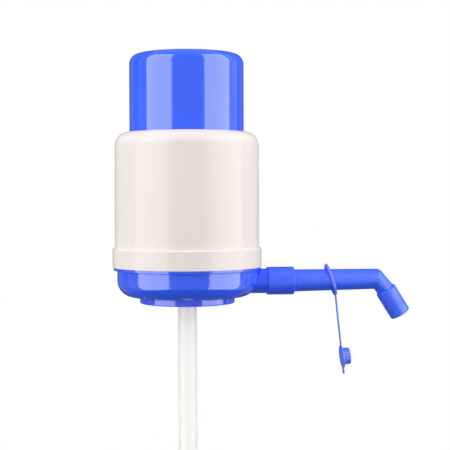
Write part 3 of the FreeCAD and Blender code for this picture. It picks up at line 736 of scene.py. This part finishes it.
class PUMP_OT_spout(bpy.types.Operator):
    """Skin the tapering spout over rings of edges, turn its bend about a hinge, and make the nozzle"""

    bl_idname = "pump.spout"
    bl_label = "Spout and Nozzle"
    bl_options = {"REGISTER", "UNDO"}

    def execute(self, context):
        s = context.scene.pump_sizes
        axis_z = SPOUT_Z + s.spout_rise
        start = Matrix.Translation((SPOUT_LOW.x, 0, SPOUT_Z))
        mouth = Matrix.Translation((COUPLING_HIGH.x, 0, SPOUT_Z))
        bend = Matrix.Translation((s.bend_x, 0, axis_z))
        angle = X_AXIS.angle(NOZZLE_AXIS)
        seat = Matrix.Translation(NOZZLE_START) @ Matrix.Rotation(angle, 4, "Y")
        tip = seat @ Matrix.Translation((s.nozzle_overlap, 0, 0))
        bm = bmesh.new()
        straight = [
            ring_of_edges(bm, start, SPOUT_HIGH.y),
            ring_of_edges(bm, mouth, SPOUT_HIGH.y),
            ring_of_edges(bm, bend, s.spout_end_radius),
        ]
        bridged(bm, straight)
        hinge = Vector((s.bend_x, 0, axis_z + s.hinge_height))
        bridged(bm, [
            self.bent(bm, straight[-1], hinge, s.inner_lean, angle),
            ring_of_edges(bm, seat, s.bent_radius),
            ring_of_edges(bm, tip, s.bent_end_radius),
        ])
        bmesh.ops.remove_doubles(bm, verts=bm.verts, dist=NEAR)
        bmesh.ops.recalc_face_normals(bm, faces=bm.faces)
        bmesh.ops.solidify(bm, geom=bm.faces[:], thickness=s.spout_wall)
        satin = finish("satin_blue_plastic")
        finished(bm, "spout_pipe", satin, ["spout_tube"], "spout", False)
        self.nozzle(s)
        return {"FINISHED"}

    def bent(self, bm, ring, hinge, lean, angle):
        """Turns the ring's upper part about a hinge; its lower part leans to the bend's inner corner."""
        space = Matrix.Translation(-hinge)
        slant = Matrix.Identity(4)
        slant[0][2] = math.tan(lean)
        low = [v for v in ends_of(ring) if v.co.z < hinge.z]
        bmesh.ops.transform(bm, matrix=slant, verts=low, space=space)
        step = Matrix.Rotation(angle / BEND_STEPS, 4, "Y")
        up = Z_AXIS.copy()
        for _ in range(BEND_STEPS):
            made = bmesh.ops.extrude_edge_only(bm, edges=ring)["geom"]
            verts = {g for g in made if isinstance(g, bmesh.types.BMVert)}
            edges = [g for g in made if isinstance(g, bmesh.types.BMEdge)]
            ring = [e for e in edges if verts.issuperset(e.verts)]
            high = [v for v in ends_of(ring) if (v.co - hinge).dot(up) > NEAR]
            bmesh.ops.transform(bm, matrix=step, verts=high, space=space)
            up = step @ up
        return ring

    def nozzle(self, s):
        """Turns the sleeve over the bent end, with its stop inside."""
        radius = NOZZLE["r_mm"] * MM
        seat = s.nozzle_overlap
        taper = 0.45 * MM
        sleeve = s.bent_end_radius + taper
        throat = s.bent_end_radius - s.spout_wall
        bm = turned([
            (throat, seat),
            (sleeve, seat),
            (sleeve, 0),
            (radius, 0, s.nozzle_edge * 0.6),
            (radius, NOZZLE_LENGTH, s.nozzle_edge),
            (MOUTH_RADIUS, NOZZLE_LENGTH, EDGE),
            (MOUTH_RADIUS, seat + s.nozzle_rib),
            (throat, seat + s.nozzle_rib),
        ], s, PIPE_STEPS)
        bmesh.ops.transform(bm, matrix=along(NOZZLE_START, NOZZLE_AXIS), verts=bm.verts)
        satin = finish("satin_blue_plastic")
        finished(bm, "nozzle_sleeve", satin, ["spout_nozzle"], "spout")


class PUMP_OT_tether(bpy.types.Operator):
    """Spin the ring from its cross-section, and make the strap and the thin stretches that bend"""

    bl_idname = "pump.tether"
    bl_label = "Tether"
    bl_options = {"REGISTER", "UNDO"}

    def execute(self, context):
        s = context.scene.pump_sizes
        self.ring(s)
        self.strap(s)
        half_gap = s.hinge_gap / 2
        self.hinge(s, "hinge_under_ring", STRAP_PIVOT, half_gap, ("ring", "strap"))
        self.hinge(s, "hinge_above_disc", PLUG_PIVOT, half_gap, ("strap", "plug"))
        return {"FINISHED"}

    def ring(self, s):
        """One side of the loop is an arc through its top and foot; the other mirrors it."""
        top = s.ring_height + s.ring_band / 2
        side = s.ring_width + s.ring_band / 2
        arc = (top ** 2 + side ** 2) / (2 * side)
        sweep = 2 * math.asin(top / arc)
        ring_edge = 0.4 * MM
        side_steps = 40
        bm = bmesh.new()
        rounded_card(bm, s.ring_band, s.ring_breadth, ring_edge, 3)
        bmesh.ops.delete(bm, geom=bm.faces[:], context="FACES_ONLY")
        upright = Matrix.Rotation(math.pi / 2, 4, "X") @ Matrix.Translation((arc, 0, 0))
        first = Matrix.Rotation(math.pi / 2 - sweep / 2, 4, "Z")
        bmesh.ops.transform(bm, matrix=first @ upright, verts=bm.verts)
        bmesh.ops.spin(
            bm, geom=bm.verts[:] + bm.edges[:], cent=(0, 0, 0), axis=Z_AXIS, dvec=(0, 0, 0),
            angle=sweep, steps=side_steps, use_merge=False,
        )
        bmesh.ops.translate(bm, vec=(0, side - arc, 0), verts=bm.verts)
        bmesh.ops.mirror(
            bm, geom=bm.verts[:] + bm.edges[:] + bm.faces[:], matrix=Matrix.Identity(4), axis="Y",
            merge_dist=EDGE,
        )
        foot = STRAP_PIVOT - STRAP_DOWN * (s.hinge_gap / 2)
        down = (foot - RING_CENTRE).normalized()
        turn = Matrix((down, Y_AXIS, down.cross(Y_AXIS))).transposed().to_4x4()
        bmesh.ops.transform(bm, matrix=Matrix.Translation(RING_CENTRE) @ turn, verts=bm.verts)
        finished(bm, "tether_loop", finish("tether_plastic"), ["tether_ring"], "ring")

    def strap(self, s):
        """The strap from one thin stretch to the other, with round ends."""
        start = s.hinge_gap / 2
        end = (PLUG_PIVOT - STRAP_PIVOT).length - start
        bm = bmesh.new()
        half = s.strap_thickness / 2
        block(bm, start, end, s.strap_width, -half, half)
        rims = [e for e in bm.edges if abs(e.verts[0].co.x - e.verts[1].co.x) < NEAR]
        sides = [e for e in rims if abs(e.verts[0].co.y - e.verts[1].co.y) < NEAR]
        end_round = 0.8 * MM
        chamfered(bm, sides, end_round, 4)
        bmesh.ops.transform(bm, matrix=strap_frame(), verts=bm.verts)
        strap = finished(
            bm, "tether_band", finish("tether_plastic"), ["tether_strap"], "strap"
        )
        edge = strap.modifiers.new("soft_edge", "BEVEL")
        edge.width = 0.18 * MM
        edge.segments = 2
        strap.modifiers.move(1, 0)

    def hinge(self, s, name, pivot, half_gap, bodies):
        """A thin web over the gap."""
        lap = 0.7 * MM
        reach = half_gap + lap
        half = 0.2 * MM
        bm = bmesh.new()
        block(bm, -reach, reach, s.strap_width * 0.8, -half, half)
        long_edges = [e for e in bm.edges if abs(e.verts[0].co.x - e.verts[1].co.x) > NEAR]
        bmesh.ops.subdivide_edges(bm, edges=long_edges, cuts=9, use_grid_fill=True)
        move = Matrix.Translation(pivot - STRAP_PIVOT) @ strap_frame()
        bmesh.ops.transform(bm, matrix=move, verts=bm.verts)
        web = finished(bm, name, finish("tether_plastic"))
        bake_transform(web)


class PUMP_OT_plug(bpy.types.Operator):
    """Make the plug with its disc and pull tab"""

    bl_idname = "pump.plug"
    bl_label = "Plug"
    bl_options = {"REGISTER", "UNDO"}

    def execute(self, context):
        s = context.scene.pump_sizes
        half = s.disc_thickness / 2
        start = (PLUG_PIVOT - STRAP_PIVOT).length + s.hinge_gap / 2
        middle = start + s.disc_radius
        rim_z = half + s.plug_depth
        bore = s.plug_radius - s.plug_wall
        lead_in = 0.7 * MM
        bm = turned([
            (0, -half),
            (s.disc_radius, -half, EDGE),
            (s.disc_radius, half, EDGE),
            (s.plug_radius, half, EDGE),
            (s.plug_radius, rim_z, lead_in),
            (bore, rim_z, EDGE),
            (bore, half + s.plug_wall, 0.5 * MM),
            (0, half + s.plug_wall),
        ], s, SMALL_STEPS)
        bmesh.ops.translate(bm, vec=(middle, 0, 0), verts=bm.verts)
        tab = bmesh.new()
        tab_end = middle + s.disc_radius + s.tab_length
        block(tab, middle, tab_end, s.tab_length, -half * 0.8, half * 0.8)
        corners = [e for e in tab.edges if all(abs(v.co.x - tab_end) < NEAR for v in e.verts)]
        upright = [e for e in corners if abs(e.verts[0].co.y - e.verts[1].co.y) < NEAR]
        tab_round = 1.2 * MM
        chamfered(tab, upright, tab_round, 6)
        add_shell(bm, tab)
        bmesh.ops.transform(bm, matrix=strap_frame(), verts=bm.verts)
        finished(bm, "plug_and_disc", finish("tether_plastic"), ["spout_plug"], "plug")
        return {"FINISHED"}


class PUMP_OT_inner_parts(bpy.types.Operator):
    """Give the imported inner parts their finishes"""

    bl_idname = "pump.inner_parts"
    bl_label = "Inner Parts"
    bl_options = {"REGISTER", "UNDO"}

    finishes = {
        "blue_plastic": ("base_collar",),
        "inner_plastic": ("water_gallery", "foot_plate", "head_plate", "foot_ring", "head_ring"),
        "seal_rubber": ("neck_seal", "downpipe_seal", "tube_seal", "nipple_seal", "spout_seals"),
        "valve_rubber": ("bottle_flap", "intake_flap"),
        "screw_steel": ("foot_screws", "head_screws"),
    }

    def execute(self, context):
        for slot, nodes in self.finishes.items():
            for node in nodes:
                mesh = frame["nodes"][node].data
                mesh.materials.clear()
                mesh.materials.append(finish(slot))
        return {"FINISHED"}


# Studio

def past_the_pump(tree):
    """1 where the camera, a reflection or a see-through surface looks past the pump, else 0."""
    path = tree.nodes.new("ShaderNodeLightPath")
    seen = path.outputs["Is Camera Ray"]
    for ray in ("Is Glossy Ray", "Is Transmission Ray"):
        either = tree.nodes.new("ShaderNodeMath")
        either.operation = "MAXIMUM"
        tree.links.new(seen, either.inputs[0])
        tree.links.new(path.outputs[ray], either.inputs[1])
        seen = either.outputs["Value"]
    return seen


class PUMP_OT_studio(bpy.types.Operator):
    """Set up the floor, the lamps, the white room and the camera"""

    bl_idname = "pump.studio"
    bl_label = "Studio"
    bl_options = {"REGISTER", "UNDO"}

    def execute(self, context):
        studio = context.scene.pump_studio
        self.floor()
        self.room(context.scene, studio)
        self.lamps(studio)
        self.camera(context.scene, studio)
        context.scene.view_settings.view_transform = "Standard"
        return {"FINISHED"}

    def floor(self):
        """A pale disc with the pump's shadow, which fades to the room's white further out."""
        fade_start = 0.35
        fade_end = 1.3
        bm = bmesh.new()
        bmesh.ops.create_circle(bm, cap_ends=True, segments=96, radius=6)
        mesh = meshed(bm, "floor")
        floor = bpy.data.objects.new("floor", mesh)
        floor.location.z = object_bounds()[0].z - 0.5 * MM
        bpy.context.scene.collection.objects.link(floor)
        material, tree, shader = new_finish("pale_floor")
        patches = clouds(tree, scale=3, detail=2)
        two_tone(tree, patches, (0.87, 0.87, 0.87), (0.85, 0.85, 0.85), shader.inputs["Base Color"])
        shader.inputs["Roughness"].default_value = 0.7
        place = tree.nodes.new("ShaderNodeTexCoord")
        distance = tree.nodes.new("ShaderNodeVectorMath")
        distance.operation = "LENGTH"
        tree.links.new(place.outputs["Object"], distance.inputs[0])
        fade = tree.nodes.new("ShaderNodeMapRange")
        fade.interpolation_type = "SMOOTHSTEP"
        fade.inputs["From Min"].default_value = fade_start
        fade.inputs["From Max"].default_value = fade_end
        tree.links.new(distance.outputs["Value"], fade.inputs["Value"])
        far = tree.nodes.new("ShaderNodeMath")
        far.operation = "MULTIPLY"
        tree.links.new(fade.outputs["Result"], far.inputs[0])
        tree.links.new(past_the_pump(tree), far.inputs[1])
        white = tree.nodes.new("ShaderNodeEmission")
        mix = tree.nodes.new("ShaderNodeMixShader")
        tree.links.new(far.outputs["Value"], mix.inputs["Fac"])
        tree.links.new(shader.outputs["BSDF"], mix.inputs[1])
        tree.links.new(white.outputs["Emission"], mix.inputs[2])
        output = tree.nodes["Material Output"]
        tree.links.new(mix.outputs["Shader"], output.inputs["Surface"])
        mesh.materials.append(material)
        floor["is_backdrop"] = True

    def room(self, scene, studio):
        """Even light for the pump, and white where the camera, gloss or glass looks past it."""
        world = bpy.data.worlds.new("white_room")
        world.use_nodes = True
        tree = world.node_tree
        tree.nodes.clear()
        light = tree.nodes.new("ShaderNodeBackground")
        light.inputs["Color"].default_value = (1, 1, 1, 1)
        light.inputs["Strength"].default_value = studio.room_light
        white = tree.nodes.new("ShaderNodeBackground")
        white.inputs["Color"].default_value = (1, 1, 1, 1)
        white.inputs["Strength"].default_value = 1
        mix = tree.nodes.new("ShaderNodeMixShader")
        output = tree.nodes.new("ShaderNodeOutputWorld")
        tree.links.new(past_the_pump(tree), mix.inputs["Fac"])
        tree.links.new(light.outputs["Background"], mix.inputs[1])
        tree.links.new(white.outputs["Background"], mix.inputs[2])
        tree.links.new(mix.outputs["Shader"], output.inputs["Surface"])
        scene.world = world

    def lamp(self, name, place, aim, size, power):
        """A soft lamp that lights the pump but isn't mirrored in it."""
        data = bpy.data.lights.new(name, "AREA")
        data.shape = "RECTANGLE"
        data.size, data.size_y = size
        data.energy = power
        lamp = bpy.data.objects.new(name, data)
        lamp.location = place
        lamp.rotation_euler = (Vector(aim) - Vector(place)).to_track_quat("-Z", "Y").to_euler()
        lamp.visible_camera = False
        lamp.visible_glossy = False
        bpy.context.scene.collection.objects.link(lamp)

    def card(self, name, turn, width, studio, level):
        """An upright card: a softbox's face, or a flag that keeps an edge dark."""
        height = studio.card_top - studio.card_foot
        bm = bmesh.new()
        rounded_card(bm, width, height, 30 * MM, 6)
        out = Quaternion(Z_AXIS, turn) @ -Y_AXIS
        card = self.reflected(bm, name, level)
        card.location = out * studio.card_distance + Z_AXIS * (studio.card_foot + height / 2)
        card.rotation_euler = (-out).to_track_quat("-Z", "Y").to_euler()

    def under_flag(self):
        """Dark paper over the floor, clear from below: undersides stay deep, and the floor stays pale."""
        bm = bmesh.new()
        bmesh.ops.create_circle(bm, cap_ends=True, segments=64, radius=0.9)
        card = self.reflected(bm, "flag_under", 0.22)
        card.location.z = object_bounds()[0].z + 1 * MM
        card.visible_diffuse = True
        tree = card.active_material.node_tree
        side = tree.nodes.new("ShaderNodeNewGeometry")
        clear = tree.nodes.new("ShaderNodeBsdfTransparent")
        mix = tree.nodes.new("ShaderNodeMixShader")
        tree.links.new(side.outputs["Backfacing"], mix.inputs["Fac"])
        tree.links.new(tree.nodes["Emission"].outputs["Emission"], mix.inputs[1])
        tree.links.new(clear.outputs["BSDF"], mix.inputs[2])
        tree.links.new(mix.outputs["Shader"], tree.nodes["Material Output"].inputs["Surface"])

    def reflected(self, bm, name, level):
        """Makes an evenly glowing card that the camera doesn't see, but reflections do."""
        mesh = meshed(bm, name)
        material = bpy.data.materials.new(name)
        material.use_nodes = True
        tree = material.node_tree
        tree.nodes.clear()
        glow = tree.nodes.new("ShaderNodeEmission")
        glow.inputs["Strength"].default_value = level
        output = tree.nodes.new("ShaderNodeOutputMaterial")
        tree.links.new(glow.outputs["Emission"], output.inputs["Surface"])
        mesh.materials.append(material)
        card = bpy.data.objects.new(name, mesh)
        card.visible_camera = False
        card.visible_diffuse = False
        card.visible_transmission = False
        card.visible_volume_scatter = False
        card.visible_shadow = False
        bpy.context.scene.collection.objects.link(card)
        card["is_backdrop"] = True
        return card

    def lamps(self, studio):
        """The lamps light the pump, and the cards around it are what its gloss mirrors."""
        middle = Vector((0, 0, 0.08))
        side = Quaternion(Z_AXIS, -studio.camera_turn)
        for name, place, size, power in (
            ("softbox_left", (-1.08, -0.2, 0.3), (0.9, 1.1), studio.box_light),
            ("softbox_right", (1.08, -0.2, 0.3), (0.9, 1.1), studio.box_light),
            ("softbox_top", (0, -0.45, 1.15), (1.0, 0.8), studio.top_light),
        ):
            self.lamp(name, side @ Vector(place), middle, size, power)
        # Each card spans a range of angles in degrees, counted from the camera's side to the right
        for name, first, last, level in (
            ("gleam_left", -84, -28.4, studio.gleam),
            ("gleam_right", 34.6, 92.4, studio.gleam),
            ("fill_left", -110, -84, 0.8),
            ("fill_right", 92.4, 118, 1.25),
            ("fill_front", -28, 34, 1),
            ("flag_left", -150, -110, 0.35),
            ("flag_right", 118, 150, 0.35),
            ("flag_back", 150, 210, 0.1),
        ):
            middle_turn = math.radians((first + last) / 2) - studio.camera_turn
            width = 2 * studio.card_distance * math.tan(math.radians((last - first) / 2))
            self.card(name, middle_turn, width, studio, level)
        self.under_flag()

    def camera(self, scene, studio):
        """The photograph's view."""
        turn = studio.camera_turn
        ahead = Vector((math.sin(turn), math.cos(turn), 0))
        place = -ahead * studio.camera_distance + Z_AXIS * studio.camera_height
        aim = Quaternion(Z_AXIS, -studio.camera_swing) @ ahead
        aim = aim * math.cos(studio.camera_tilt) - Z_AXIS * math.sin(studio.camera_tilt)
        data = bpy.data.cameras.new("camera")
        data.lens = studio.camera_lens
        data.sensor_width = 36
        data.clip_start = 0.01
        camera = bpy.data.objects.new("camera", data)
        camera.location = place
        camera.rotation_mode = "QUATERNION"
        level = aim.to_track_quat("-Z", "Y")
        camera.rotation_quaternion = level @ Quaternion(Z_AXIS, studio.camera_roll)
        scene.collection.objects.link(camera)
        scene.camera = camera


class PUMP_PT_panel(bpy.types.Panel):
    """Lists the sizes, colours and studio settings, and the operators in their order"""

    bl_label = "Hand Pump"
    bl_idname = "PUMP_PT_panel"
    bl_space_type = "VIEW_3D"
    bl_region_type = "UI"
    bl_category = "Hand Pump"

    def draw(self, context):
        for group in (context.scene.pump_sizes, context.scene.pump_colours, context.scene.pump_studio):
            box = self.layout.box()
            for name in group.bl_rna.properties.keys():
                if name not in ("rna_type", "name"):
                    box.prop(group, name)
        for operator in OPERATORS:
            self.layout.operator(operator.bl_idname)


OPERATORS = (
    PUMP_OT_push_cap,
    PUMP_OT_upper_housing,
    PUMP_OT_bellows,
    PUMP_OT_dip_tube,
    PUMP_OT_coupling,
    PUMP_OT_spout,
    PUMP_OT_tether,
    PUMP_OT_plug,
    PUMP_OT_inner_parts,
    PUMP_OT_studio,
)
GROUPS = {"pump_sizes": PumpSizes, "pump_colours": PumpColours, "pump_studio": PumpStudio}


def register():
    for group in GROUPS.values():
        bpy.utils.register_class(group)
    for operator in OPERATORS:
        bpy.utils.register_class(operator)
    bpy.utils.register_class(PUMP_PT_panel)
    for name, group in GROUPS.items():
        setattr(bpy.types.Scene, name, PointerProperty(type=group))


def unregister():
    for name in GROUPS:
        delattr(bpy.types.Scene, name)
    bpy.utils.unregister_class(PUMP_PT_panel)
    for operator in reversed(OPERATORS):
        bpy.utils.unregister_class(operator)
    for group in GROUPS.values():
        bpy.utils.unregister_class(group)


def main():
    """Makes every piece and the studio."""
    register()
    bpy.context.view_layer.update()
    for operator in OPERATORS:
        area, name = operator.bl_idname.split(".")
        getattr(getattr(bpy.ops, area), name)()


if __name__ == "__main__":
    main()
